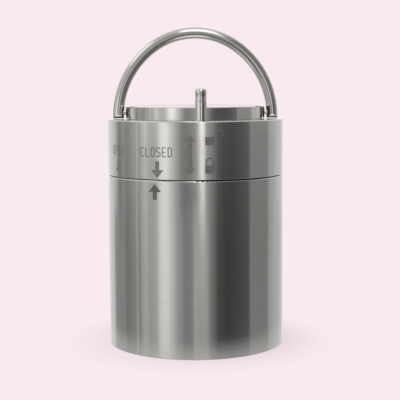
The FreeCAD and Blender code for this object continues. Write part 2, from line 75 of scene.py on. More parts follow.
def ramp(tree, value, stops, interpolation="LINEAR"):
    """A colour ramp from (position, brightness or colour) stops."""
    node = add(tree, "ShaderNodeValToRGB", {"Fac": value})
    node.color_ramp.interpolation = interpolation
    elements = node.color_ramp.elements
    while len(elements) < len(stops):
        elements.new(0.5)
    for element, (position, level) in zip(elements, stops):
        element.position = position
        colour = (level, level, level) if isinstance(level, (int, float)) else level
        element.color = (*colour, 1.0)
    return node.outputs[0]


def mix(tree, factor, first, second):
    """Mixes two colours."""
    node = tree.nodes.new("ShaderNodeMix")
    node.data_type = "RGBA"
    for key, value in ((0, factor), (6, first), (7, second)):
        if isinstance(value, bpy.types.NodeSocket):
            tree.links.new(value, node.inputs[key])
        else:
            node.inputs[key].default_value = value
    return node.outputs[2]


def grey(level):
    return (level, level, level, 1.0)


# ---- materials --------------------------------------------------------------------------


def new_material(name):
    material = bpy.data.materials.new(name)
    material.use_nodes = True
    tree = material.node_tree
    tree.nodes.clear()
    shader = add(tree, "ShaderNodeBsdfPrincipled")
    output = add(tree, "ShaderNodeOutputMaterial", {"Surface": shader.outputs[0]})
    output.location = (300, 0)
    place = add(tree, "ShaderNodeTexCoord").outputs["Object"]
    return material, tree, shader, place


def noise(tree, place, scale, detail=3.0, roughness=0.55, distortion=0.0):
    """Noise whose scale is features per metre along X, Y and Z."""
    spread = add(tree, "ShaderNodeMapping", {"Vector": place, "Scale": scale}).outputs[0]
    inputs = {"Vector": spread, "Scale": 1.0, "Detail": detail, "Roughness": roughness,
              "Distortion": distortion}
    return add(tree, "ShaderNodeTexNoise", inputs).outputs["Fac"]


def bump(tree, height, depth, normal=None):
    """Bumps a surface by a height of 0 to 1, depth metres deep."""
    inputs = {"Height": height, "Distance": depth, "Strength": 1.0}
    if normal is not None:
        inputs["Normal"] = normal
    return add(tree, "ShaderNodeBump", inputs).outputs[0]


def link(tree, output, shader, socket):
    tree.links.new(output, shader.inputs[socket])


def turned_lines(tree, place, per_metre):
    """Fine lines round the axis: stacked up a wall, and rings on a flat face."""
    axes = add(tree, "ShaderNodeSeparateXYZ", {0: place}).outputs
    flat = add(tree, "ShaderNodeCombineXYZ", {0: axes[0], 1: axes[1]}).outputs[0]
    radius = add(tree, "ShaderNodeVectorMath", {0: flat}, operation="LENGTH").outputs["Value"]
    across = math_node(tree, "ADD", axes[2], radius)
    spread = add(tree, "ShaderNodeCombineXYZ", {0: axes[0], 1: axes[1], 2: across}).outputs[0]
    return noise(tree, spread, (14, 14, per_metre), detail=5.0, roughness=0.7)


def near_heights(tree, place, heights, reach):
    """One at each height, falling to none a reach away."""
    level = add(tree, "ShaderNodeSeparateXYZ", {0: place}).outputs[2]
    total = None
    for height in heights:
        gap = math_node(tree, "ABSOLUTE", math_node(tree, "SUBTRACT", level, height))
        near = remap(tree, gap, 0.0, reach, 1.0, 0.0)
        total = near if total is None else math_node(tree, "MAXIMUM", total, near)
    return total


def steel(name, colour, roughness, anisotropy=0.0, lines_per_metre=None, line_depth=2e-7,
          smudge=0.03, stain=0.07, edges=(), handled=None):
    """Stainless steel: tool lines, smudges, wear at the heights of its edges, and a handled patch.

    With lines_per_metre the lines run round the axis, and the sheen is drawn out across them.
    """
    material, tree, shader, place = new_material(name)
    shader.inputs["Metallic"].default_value = 1.0
    if lines_per_metre:
        shader.inputs["Anisotropic"].default_value = anisotropy
        shader.inputs["Anisotropic Rotation"].default_value = 0.25
        tangent = add(tree, "ShaderNodeTangent", direction_type="RADIAL", axis="Z")
        link(tree, tangent.outputs[0], shader, "Tangent")
        lines = turned_lines(tree, place, lines_per_metre)
    else:
        lines = noise(tree, place, (900, 900, 900), detail=4.0, roughness=0.6)
    smears = noise(tree, place, (38, 38, 22), detail=5.0, roughness=0.6, distortion=0.8)
    prints = noise(tree, place, (120, 120, 70), detail=2.0, roughness=0.5, distortion=1.5)
    smudged = remap(tree, smears, 0.50, 0.72)
    printed = math_node(tree, "MULTIPLY", remap(tree, prints, 0.55, 0.66), smudged)

    fine_dark = tuple(0.93 * c for c in colour)
    dull = tuple(c * (1.0 - stain) * w for c, w in zip(colour, (1.0, 0.985, 0.955)))
    bright = tuple(min(1.0, 1.12 * c) for c in colour)
    base = mix(tree, remap(tree, lines, 0.30, 0.72), (*fine_dark, 1), (*colour, 1))
    base = mix(tree, math_node(tree, "MAXIMUM", smudged, printed), base, (*dull, 1))
    rough = math_node(tree, "MULTIPLY_ADD", lines, 0.03, roughness - 0.015)
    rough = math_node(tree, "MULTIPLY_ADD", smudged, smudge, rough)
    rough = math_node(tree, "MULTIPLY_ADD", printed, smudge, rough)
    if handled is not None:
        middle, reach = handled
        apart = add(tree, "ShaderNodeVectorMath", {0: place, 1: middle}, operation="DISTANCE")
        near = remap(tree, apart.outputs["Value"], 0.3 * reach, reach, 1.0, 0.0)
        patch = math_node(tree, "MULTIPLY", near, remap(tree, smears, 0.36, 0.56))
        base = mix(tree, patch, base, (*(0.62 * c for c in colour), 1))
    if edges:
        nicks = noise(tree, place, (260, 260, 400), detail=4.0, roughness=0.7)
        rubbed = math_node(tree, "MULTIPLY", near_heights(tree, place, edges, 1.6 * MM),
                           remap(tree, nicks, 0.30, 0.74, 0.15, 0.85))
        base = mix(tree, rubbed, base, (*bright, 1))
        rough = math_node(tree, "MULTIPLY_ADD", rubbed, 0.07, rough)
    link(tree, base, shader, "Base Color")
    link(tree, rough, shader, "Roughness")
    link(tree, bump(tree, lines, line_depth), shader, "Normal")
    return material


def steels():
    casing_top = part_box("outer_casing")[1].z
    collar_foot, collar_top = (corner.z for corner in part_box("locking_collar"))
    lid_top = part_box("lid_hub")[1].z
    thumb = Vector((-9 * MM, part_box("outer_casing")[0].y, casing_top - 10 * MM))
    return {
        "casing_steel": steel("casing_steel", (0.63, 0.62, 0.60), 0.12, 0.65, 5200,
                              edges=(0.0, casing_top), handled=(thumb, 15 * MM)),
        "collar_steel": steel("collar_steel", (0.64, 0.63, 0.61), 0.12, 0.65, 5200,
                              edges=(collar_foot, collar_top)),
        "lid_steel": steel("lid_steel", (0.65, 0.64, 0.62), 0.12, 0.65, 4600, edges=(lid_top,)),
        "machined_steel": steel("machined_steel", (0.62, 0.61, 0.59), 0.24, 0.80, 3200, 5e-7),
        "pin_steel": steel("pin_steel", (0.70, 0.69, 0.67), 0.12, 0.50, 6000),
        "fastener_steel": steel("fastener_steel", (0.64, 0.63, 0.61), 0.24),
        "flask_steel": steel("flask_steel", (0.66, 0.65, 0.64), 0.20, 0.60, 1800),
        "port_steel": steel("port_steel", (0.58, 0.57, 0.56), 0.36),
        "spring_steel": steel("spring_steel", (0.20, 0.20, 0.21), 0.35),
    }


def bail_steel():
    """Satin rod, polished along its length, so its sheen is drawn out across the rod."""
    material, tree, shader, place = new_material("bail_steel")
    shader.inputs["Metallic"].default_value = 1.0
    shader.inputs["Anisotropic"].default_value = 0.6
    low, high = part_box("bail_handle")
    middle = Vector((0, 0, high.z - (high.x - low.x) / 2))
    spoke = add(tree, "ShaderNodeVectorMath", {0: place, 1: middle}, operation="SUBTRACT").outputs[0]
    along_rod = add(tree, "ShaderNodeVectorMath", {0: spoke, 1: (0, 1, 0)}, operation="CROSS_PRODUCT")
    across_rod = add(tree, "ShaderNodeVectorMath", {0: along_rod.outputs[0], 1: add(
        tree, "ShaderNodeNewGeometry").outputs["Normal"]}, operation="CROSS_PRODUCT")
    link(tree, across_rod.outputs[0], shader, "Tangent")

    radius = add(tree, "ShaderNodeVectorMath", {0: spoke}, operation="LENGTH").outputs["Value"]
    depth = add(tree, "ShaderNodeSeparateXYZ", {0: place}).outputs[1]
    polar = add(tree, "ShaderNodeCombineXYZ", {0: radius, 1: depth}).outputs[0]
    draw_lines = noise(tree, polar, (2600, 2600, 1), detail=4.0, roughness=0.7)
    scuffs = noise(tree, place, (60, 60, 60), detail=5.0, roughness=0.65, distortion=0.6)
    nicks = noise(tree, place, (420, 420, 420), detail=3.0)
    handled = remap(tree, scuffs, 0.48, 0.68)
    base = mix(tree, remap(tree, draw_lines, 0.3, 0.7), (0.57, 0.56, 0.54, 1), (0.63, 0.62, 0.60, 1))
    base = mix(tree, handled, base, (0.55, 0.54, 0.515, 1))
    base = mix(tree, remap(tree, nicks, 0.70, 0.76), base, (0.46, 0.45, 0.44, 1))
    link(tree, base, shader, "Base Color")
    rough = math_node(tree, "MULTIPLY_ADD", draw_lines, 0.04, 0.13)
    link(tree, math_node(tree, "MULTIPLY_ADD", handled, 0.04, rough), shader, "Roughness")
    normal = bump(tree, draw_lines, 4e-8)
    link(tree, bump(tree, nicks, 6e-8, normal), shader, "Normal")
    return material


def bronze():
    material, tree, shader, place = new_material("bush_bronze")
    shader.inputs["Metallic"].default_value = 1.0
    lines = noise(tree, place, (60, 60, 4000), detail=4.0)
    base = mix(tree, remap(tree, lines, 0.3, 0.7), (0.42, 0.29, 0.14, 1), (0.62, 0.46, 0.24, 1))
    link(tree, base, shader, "Base Color")
    link(tree, remap(tree, lines, 0.2, 0.8, 0.28, 0.42), shader, "Roughness")
    link(tree, bump(tree, lines, 1e-6), shader, "Normal")
    return material


def plain(name, dark, light, rough_low, rough_high, grain, depth, specular=0.5, speck=None):
    """A moulded or soft material: two close colours, varied by noise, with a fine texture."""
    material, tree, shader, place = new_material(name)
    shader.inputs["Specular IOR Level"].default_value = specular
    patches = noise(tree, place, (35, 35, 35), detail=4.0)
    texture = noise(tree, place, grain, detail=5.0, roughness=0.65)
    base = mix(tree, remap(tree, patches, 0.3, 0.7), (*dark, 1), (*light, 1))
    if speck is not None:
        base = mix(tree, remap(tree, texture, 0.56, 0.66), base, (*speck, 1))
    link(tree, base, shader, "Base Color")
    link(tree, remap(tree, texture, 0.3, 0.7, rough_low, rough_high), shader, "Roughness")
    link(tree, bump(tree, texture, depth), shader, "Normal")
    return material


def foam():
    material, tree, shader, place = new_material("foam")
    cells = add(tree, "ShaderNodeTexVoronoi", {"Vector": place, "Scale": 900.0}).outputs["Distance"]
    base = mix(tree, remap(tree, cells, 0.1, 0.7), (0.80, 0.73, 0.52, 1), (0.90, 0.84, 0.66, 1))
    link(tree, base, shader, "Base Color")
    shader.inputs["Roughness"].default_value = 0.85
    link(tree, bump(tree, cells, 1.2e-4), shader, "Normal")
    return material


def foil():
    """Aluminised film, wrapped and crinkled."""
    material, tree, shader, place = new_material("foil_wrap")
    shader.inputs["Metallic"].default_value = 1.0
    creases = add(tree, "ShaderNodeTexVoronoi", {"Vector": place, "Scale": 160.0},
                  feature="DISTANCE_TO_EDGE").outputs["Distance"]
    folds = noise(tree, place, (120, 120, 120), detail=5.0, distortion=1.2)
    base = mix(tree, folds, (0.72, 0.72, 0.74, 1), (0.86, 0.86, 0.88, 1))
    link(tree, base, shader, "Base Color")
    link(tree, remap(tree, folds, 0.3, 0.7, 0.12, 0.28), shader, "Roughness")
    normal = bump(tree, folds, 8e-4)
    link(tree, bump(tree, remap(tree, creases, 0.0, 0.12), 2e-4, normal), shader, "Normal")
    return material


def laminate():
    """Glass-cloth laminate: a faint plain weave under a satin resin."""
    material, tree, shader, place = new_material("laminate")
    warp = add(tree, "ShaderNodeTexWave", {"Vector": place, "Scale": 320.0, "Distortion": 0.4},
               bands_direction="X").outputs["Fac"]
    weft = add(tree, "ShaderNodeTexWave", {"Vector": place, "Scale": 320.0, "Distortion": 0.4},
               bands_direction="Y").outputs["Fac"]
    weave = math_node(tree, "MULTIPLY", warp, weft)
    base = mix(tree, weave, (0.42, 0.47, 0.25, 1), (0.58, 0.62, 0.38, 1))
    link(tree, base, shader, "Base Color")
    link(tree, remap(tree, weave, 0.0, 1.0, 0.45, 0.34), shader, "Roughness")
    link(tree, bump(tree, weave, 3e-5), shader, "Normal")
    return material


def etched(name, level):
    """Laser-marked steel: darker, dull and slightly uneven."""
    material, tree, shader, place = new_material(name)
    shader.inputs["Metallic"].default_value = 0.55
    hatch = noise(tree, place, (60, 60, 4500), detail=3.0)
    patches = noise(tree, place, (260, 260, 260), detail=3.0)
    dark = tuple(level * c for c in (0.114, 0.113, 0.106))
    light = tuple(level * c for c in (0.162, 0.161, 0.151))
    lined = tuple(level * c for c in (0.198, 0.196, 0.185))
    base = mix(tree, remap(tree, patches, 0.3, 0.7), (*dark, 1), (*light, 1))
    base = mix(tree, remap(tree, hatch, 0.3, 0.75), base, (*lined, 1))
    link(tree, base, shader, "Base Color")
    link(tree, remap(tree, patches, 0.3, 0.7, 0.48, 0.6), shader, "Roughness")
    link(tree, bump(tree, hatch, 2e-6), shader, "Normal")
    return material


def all_materials():
    made = steels()
    made["bail_steel"] = bail_steel()
    made["bush_bronze"] = bronze()
    made["white_ptfe"] = plain("white_ptfe", (0.80, 0.80, 0.78), (0.88, 0.88, 0.86), 0.38, 0.5,
                               (50, 50, 2500), 4e-6, 0.4)
    made["filled_ptfe"] = plain("filled_ptfe", (0.030, 0.030, 0.032), (0.045, 0.045, 0.047), 0.32, 0.45,
                                (300, 2500, 2500), 4e-6, 0.45)
    made["laminate"] = laminate()
    made["foam"] = foam()
    made["foil_wrap"] = foil()
    made["base_rubber"] = plain("base_rubber", (0.016, 0.016, 0.017), (0.028, 0.028, 0.029), 0.62, 0.8,
                                (700, 700, 700), 5e-5, 0.3, (0.06, 0.058, 0.055))
    made["black_rubber"] = plain("black_rubber", (0.014, 0.014, 0.014), (0.024, 0.024, 0.024), 0.5, 0.65,
                                 (900, 900, 900), 2e-5, 0.35)
    made["black_plastic"] = plain("black_plastic", (0.02, 0.02, 0.02), (0.03, 0.03, 0.03), 0.35, 0.5,
                                  (1400, 1400, 1400), 1.5e-5, 0.45)
    return made


def finish_nodes(materials):
    """Gives each CAD node the material of its slot in the record."""
    for subpart in frame["record"]["subparts"]:
        node = frame["nodes"][subpart["node"]]
        for place in node.material_slots:
            place.material = materials[subpart["material_slot"]]


# ---- etched marks -----------------------------------------------------------------------
# A mark is drawn flat, as (along, up) outlines in millimetres: along is the distance round the
# casing from the front, towards +X, and up is the height. It is then wrapped on the casing.

CASING_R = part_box("outer_casing")[1].x / MM
SEAM_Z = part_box("outer_casing")[1].z / MM
COLLAR_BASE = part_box("locking_collar")[0].z / MM
MARK_SKIN = 0.008        # half the thickness of a mark, which lies in the surface
MARK_STEP = 0.8          # width of the strips that a mark is wrapped in
STATE_TURN = 33.0        # degrees between the two state marks, as the collar turns


def along(azimuth):
    return math.radians(azimuth) * CASING_R


def wrapped(point):
    azimuth = point.x / CASING_R
    radius = (CASING_R - MARK_SKIN) * MM
    return Vector((radius * math.sin(azimuth), -radius * math.cos(azimuth), point.y * MM))


def make_mark(name, outlines, body, material):
    """Wraps flat outlines round the casing as one thin closed piece."""
    mesh = bpy.data.meshes.new(name)
    bm = bmesh.new()
    for outline in outlines:
        bm.faces.new([bm.verts.new((x, z, 0)) for x, z in outline])
    bmesh.ops.remove_doubles(bm, verts=bm.verts, dist=1e-4)
    spans = [v.co.x for v in bm.verts]
    cut = math.floor(min(spans) / MARK_STEP) * MARK_STEP
    while cut < max(spans):
        everything = list(bm.verts) + list(bm.edges) + list(bm.faces)
        bmesh.ops.bisect_plane(bm, geom=everything, plane_co=(cut, 0, 0), plane_no=(1, 0, 0))
        cut += MARK_STEP
    for vertex in bm.verts:
        vertex.co = wrapped(vertex.co)
    bmesh.ops.recalc_face_normals(bm, faces=bm.faces)
    for face in bm.faces:
        if face.normal.dot(Vector((*face.calc_center_median().xy, 0))) < 0:
            face.normal_flip()
    raised = bmesh.ops.extrude_face_region(bm, geom=list(bm.faces), use_keep_orig=True)
    for vertex in [item for item in raised["geom"] if isinstance(item, bmesh.types.BMVert)]:
        outward = Vector((*vertex.co.xy, 0)).normalized()
        vertex.co += outward * 2 * MARK_SKIN * MM
    bmesh.ops.recalc_face_normals(bm, faces=bm.faces)
    bm.to_mesh(mesh)
    bm.free()
    piece = bpy.data.objects.new(name, mesh)
    bpy.context.scene.collection.objects.link(piece)
    mesh.materials.append(material)
    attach(piece, body)
    return piece


def arrow(x, tail, tip, neck, shaft_width, head_width):
    """Outline of an arrow from its tail's height to its tip's, its head starting at neck."""
    half, wide = shaft_width / 2, head_width / 2
    return [(x - half, tail), (x + half, tail), (x + half, neck), (x + wide, neck), (x, tip),
            (x - wide, neck), (x - half, neck)]


def double_arrow(x, bottom, top, head_height, shaft_width, head_width):
    half, wide = shaft_width / 2, head_width / 2
    low, high = bottom + head_height, top - head_height
    return [(x, bottom), (x + wide, low), (x + half, low), (x + half, high), (x + wide, high),
            (x, top), (x - wide, high), (x - half, high), (x - half, low), (x - wide, low)]


def arc(x, z, radius, start, end, steps=12):
    turns = [math.radians(start + (end - start) * i / steps) for i in range(steps + 1)]
    return [(x + radius * math.cos(t), z + radius * math.sin(t)) for t in turns]


def ribbon(path, width, closed=False):
    """Quads of a line of even width along a path."""
    points = [Vector(p) for p in path]
    count = len(points)
    sides = []
    for i, point in enumerate(points):
        before = points[i - 1] if closed or i > 0 else point
        after = points[(i + 1) % count] if closed or i < count - 1 else point
        into = (point - before).normalized() if before != point else (after - point).normalized()
        out = (after - point).normalized() if after != point else into
        across = Vector((-(into + out).y, (into + out).x)).normalized()
        mitre = min(1.6, 1.0 / max(0.3, across.dot(Vector((-into.y, into.x)))))
        sides.append((point + across * mitre * width / 2, point - across * mitre * width / 2))
    last = count if closed else count - 1
    quads = []
    for i in range(last):
        (a, b), (c, d) = sides[i], sides[(i + 1) % count]
        quads.append([tuple(a), tuple(b), tuple(d), tuple(c)])
    return quads


LETTER_HEIGHT = 6.0
LETTER_WIDTH = 2.5
LETTER_PITCH = 4.2
LETTER_STROKE = 0.62


def letter_paths(letter):
    """Paths of a letter about its middle, with whether each is closed."""
    r = LETTER_WIDTH / 2
    h = LETTER_HEIGHT / 2
    q = h / 2
    top, bottom = h - r, r - h
    shapes = {
        "C": [(arc(0, top, r, 35, 180) + arc(0, bottom, r, 180, 325), False)],
        "D": [([(-r, -h), (-r, h)] + arc(0, top, r, 90, 0) + arc(0, bottom, r, 0, -90), True)],
        "E": [([(r, h), (-r, h), (-r, -h), (r, -h)], False), ([(-r, 0), (0.7 * r, 0)], False)],
        "L": [([(-r, h), (-r, -h), (r, -h)], False)],
        "N": [([(-r, -h), (-r, h), (r, -h), (r, h)], False)],
        "O": [(arc(0, top, r, 0, 180) + arc(0, bottom, r, 180, 360), True)],
        "P": [([(-r, -h), (-r, h)] + arc(0, q, q, 90, -90) + [(-r, 0)], False)],
        "S": [(arc(0, q, q, 30, 270) + arc(0, -q, q, 90, -150), False)],
    }
    return shapes[letter]


def word(text, x, z):
    """Quads of a word centred on x, with its middle at height z."""
    quads = []
    for i, letter in enumerate(text):
        left = x + (i - (len(text) - 1) / 2) * LETTER_PITCH
        for path, closed in letter_paths(letter):
            quads += ribbon([(left + px, z + pz) for px, pz in path], LETTER_STROKE, closed)
    return quads


def padlock(x, z, is_open):
    """A padlock whose body's lower edge is at height z. An open one's shackle is swung aside."""
    half_width, height = 3.1, 5.4
    bow_r, line = 2.3, 0.9
    body = [(x - half_width, z), (x + half_width, z), (x + half_width, z + height),
            (x - half_width, z + height)]
    bow_x = x + (2 * bow_r + 1.9 if is_open else 0)
    spring = z + height + 2.6
    bow = arc(bow_x, spring, bow_r, 0, 180, 16)
    if is_open:
        path = [(bow_x + bow_r, z + height + 0.2)] + bow + [(bow_x - bow_r, z + height - 1.2)]
    else:
        path = [(bow_x + bow_r, z + height)] + bow + [(bow_x - bow_r, z + height)]
    return [body] + ribbon(path, line)


def all_marks():
    arrows = etched("etched_arrows", 1.4)
    locks = etched("etched_locks", 1.2)
    dark_mark = etched("etched_dark", 0.93)
    closed_x = along(-24.1)
    open_x = along(-24.1 - STATE_TURN)
    casing_x = along(-25.9)
    slide_x = along(-3.4)
    lock_x = along(8.7)
    tail, neck, tip = COLLAR_BASE + 12.6, COLLAR_BASE + 6.6, COLLAR_BASE + 1.2
    word_z = COLLAR_BASE + 18.7
    for label, x in (("closed", closed_x), ("open", open_x)):
        down = arrow(x, tail, tip, neck, 3.0, 9.2)
        make_mark(f"mark_{label}_arrow", [down], "collar", arrows)
        make_mark(f"mark_{label}_word", word(label.upper(), x - 1.2, word_z), "collar", dark_mark)
    up = arrow(casing_x, SEAM_Z - 13.2, SEAM_Z - 2.2, SEAM_Z - 7.8, 3.2, 9.6)
    make_mark("mark_casing_arrow", [up], "vessel", dark_mark)
    slide = double_arrow(slide_x, COLLAR_BASE + 3.4, COLLAR_BASE + 30.6, 4.7, 3.4, 7.6)
    make_mark("mark_slide_arrow", [slide], "collar", arrows)
    make_mark("mark_locked", padlock(lock_x, COLLAR_BASE + 4.4, False), "collar", locks)
    make_mark("mark_unlocked", padlock(lock_x, COLLAR_BASE + 23.5, True), "collar", locks)


# ---- studio -----------------------------------------------------------------------------

BACKDROP = (0.947, 0.823, 0.863)    # pale pinkish paper

# Brightness of the studio by azimuth from the front, in degrees: soft boxes, gaps and dark flags.
# The low bands are what a standing wall mirrors to an eye well above it, and the high ones what
# it mirrors near eye level. The room bands fill the studio above and below them. The low and high
# levels aren't free choices: they were read from a program's listing of how bright the photographed
# walls are in each mirrored direction, then rounded and thinned.
LOW_LEFT = (
    (-180, 1.00), (-157, 0.86), (-145, 0.76), (-136, 0.72), (-131, 0.36), (-112, 0.33),
    (-109, 0.37), (-105, 0.27), (-98, 0.25), (-92, 0.31), (-86, 0.32), (-84, 0.40), (-82, 0.60),
    (-80.5, 0.40), (-79, 0.23), (-77, 0.40), (-72, 0.55), (-67, 0.58), (-62.5, 0.47),
    (-57, 0.53), (-53, 0.55), (-49.5, 0.76), (-46.5, 0.96), (-40, 1.02), (-37, 1.00),
    (-34, 0.86), (-28, 0.67), (-24, 0.47), (-18.5, 0.41), (-15, 0.30), (-4.4, 0.33), (-2.6, 0.56),
)
LOW_RIGHT = (
    (0, 0.56), (3, 0.52), (14.5, 0.50), (17, 0.34), (20, 0.26), (25, 0.17), (27.5, 0.09),
    (40, 0.06), (52, 0.075), (68, 0.105), (72.8, 0.115), (74.6, 0.28), (107, 0.28), (110, 0.42),
    (112, 0.49), (120, 0.54), (128, 0.60), (140, 0.63), (150, 0.72), (160, 0.82), (180, 1.00),
)
HIGH_LEFT = (
    (-180, 1.05), (-154, 0.90), (-140, 0.84), (-132, 0.76), (-124, 0.56), (-119, 0.31),
    (-116, 0.27), (-107, 0.39), (-101, 0.31), (-95, 0.34), (-88, 0.45), (-84, 0.45), (-82, 0.54),
    (-80.3, 0.70), (-78.6, 0.40), (-77, 0.42), (-75, 0.57), (-70.5, 0.66), (-67.5, 0.77),
    (-64, 0.63), (-58, 0.54), (-54, 0.58), (-50, 0.62), (-47.5, 0.86), (-43, 1.08),
    (-36.5, 1.08), (-33, 0.84), (-28, 0.65), (-24, 0.49), (-17.5, 0.28), (-13, 0.25), (-2, 0.34),
)
HIGH_RIGHT = (
    (0, 0.40), (2.5, 0.53), (4, 0.68), (6.2, 1.12), (7.5, 1.26), (10.4, 1.22), (11.8, 0.90),
    (13.5, 0.42), (20, 0.31), (25, 0.21), (28.5, 0.135), (36, 0.095), (48, 0.085), (60, 0.11),
    (72.8, 0.15), (74.6, 0.30), (106, 0.30), (109, 0.42), (112, 0.49), (120, 0.53), (128, 0.64),
    (137, 0.70), (146, 0.72), (156, 0.84), (180, 1.05),
)
ROOM_LEFT = (
    (-180, 0.85), (-150, 0.76), (-90, 0.70), (-50, 0.72), (-30, 0.60), (-10, 0.42), (0, 0.36),
)
ROOM_RIGHT = (
    (0, 0.36), (15, 0.32), (35, 0.25), (82, 0.27), (97, 0.36), (112, 0.48), (130, 0.68),
    (145, 0.84), (180, 0.85),
)
# each soft box: azimuth, elevation, half width and half height in degrees, brightness
SOFT_BOXES = ((6, 57, 13, 27, 1.9), (-88, 45, 25, 11, 1.5))
SOFT_BOX_POWER = 4.0     # 2 would be an ellipse, and higher is squarer
OVERHEAD = 0.8           # beyond the soft boxes, above
UNDER_FRONT = 0.11       # under the horizon in front, where it's dark
UNDER_BACK = 0.5         # and behind
FLOOR_LIGHT = 0.5        # well below, where it's pale paper
BACKDROP_MIRRORED = 1.28     # what the flat lid mirrors of the paper behind it
SHEET_AZIMUTH = -42.0    # middle of the main sheet, whose edges waver
LIGHT_SCALE = 1.5        # ramps hold up to 1, so levels are stored divided by this

# Elevations in degrees between which one part of the studio gives way to the next, going up or down.
LOW_TO_HIGH = (-6.9, -6.1)
TO_BRIGHTER_HIGH = (-2.0, -1.2)
HIGH_TO_ROOM = (1.5, 12.0)
ROOM_TO_OVERHEAD = (50, 72)
LOW_TO_UNDER = (-14.5, -18.0)
UNDER_TO_FLOOR = (-40, -54)
BACKDROP_FOOT = (-1.0, -0.2)
BACKDROP_TOP = (2.2, 5.0)
# Azimuths in degrees off the front, to either side, between which the same happens.
BRIGHTER_SIDES = (112, 128)
UNDER_SIDES = (40, 135)
BACKDROP_SIDES = (146, 160)


def bands(tree, azimuth, left, right):
    """Brightness at an azimuth in degrees."""
    sides = []
    for stops, low in ((left, -180), (right, 0)):
        position = math_node(tree, "MULTIPLY_ADD", azimuth, 1 / 180, -low / 180, clamp=True)
        spread = [((a - low) / 180, level / LIGHT_SCALE) for a, level in stops]
        sides.append(ramp(tree, position, spread))
    on_right = math_node(tree, "GREATER_THAN", azimuth, 0.0)
    return mix(tree, on_right, *sides)


def soft_box(tree, direction, azimuth, elevation, half_width, half_height):
    """One inside a soft box seen in a direction, falling off softly at its edges."""
    across, up = math.radians(azimuth), math.radians(elevation)
    middle = Vector((math.sin(across) * math.cos(up), -math.cos(across) * math.cos(up), math.sin(up)))
    side = Vector((math.cos(across), math.sin(across), 0))
    top = middle.cross(side)
    reach = []
    for axis, half in ((side, half_width), (top, half_height)):
        off = add(tree, "ShaderNodeVectorMath", {0: direction, 1: axis}, operation="DOT_PRODUCT")
        reach.append(math_node(tree, "DIVIDE", off.outputs["Value"], math.sin(math.radians(half))))
    facing = add(tree, "ShaderNodeVectorMath", {0: direction, 1: middle}, operation="DOT_PRODUCT")
    powers = [math_node(tree, "POWER", math_node(tree, "ABSOLUTE", r), SOFT_BOX_POWER) for r in reach]
    outline = math_node(tree, "ADD", *powers)
    inside = remap(tree, outline, 0.35, 1.6, 1.0, 0.0)
    ahead = remap(tree, facing.outputs["Value"], 0.0, 0.15)
    return math_node(tree, "MULTIPLY", inside, ahead)


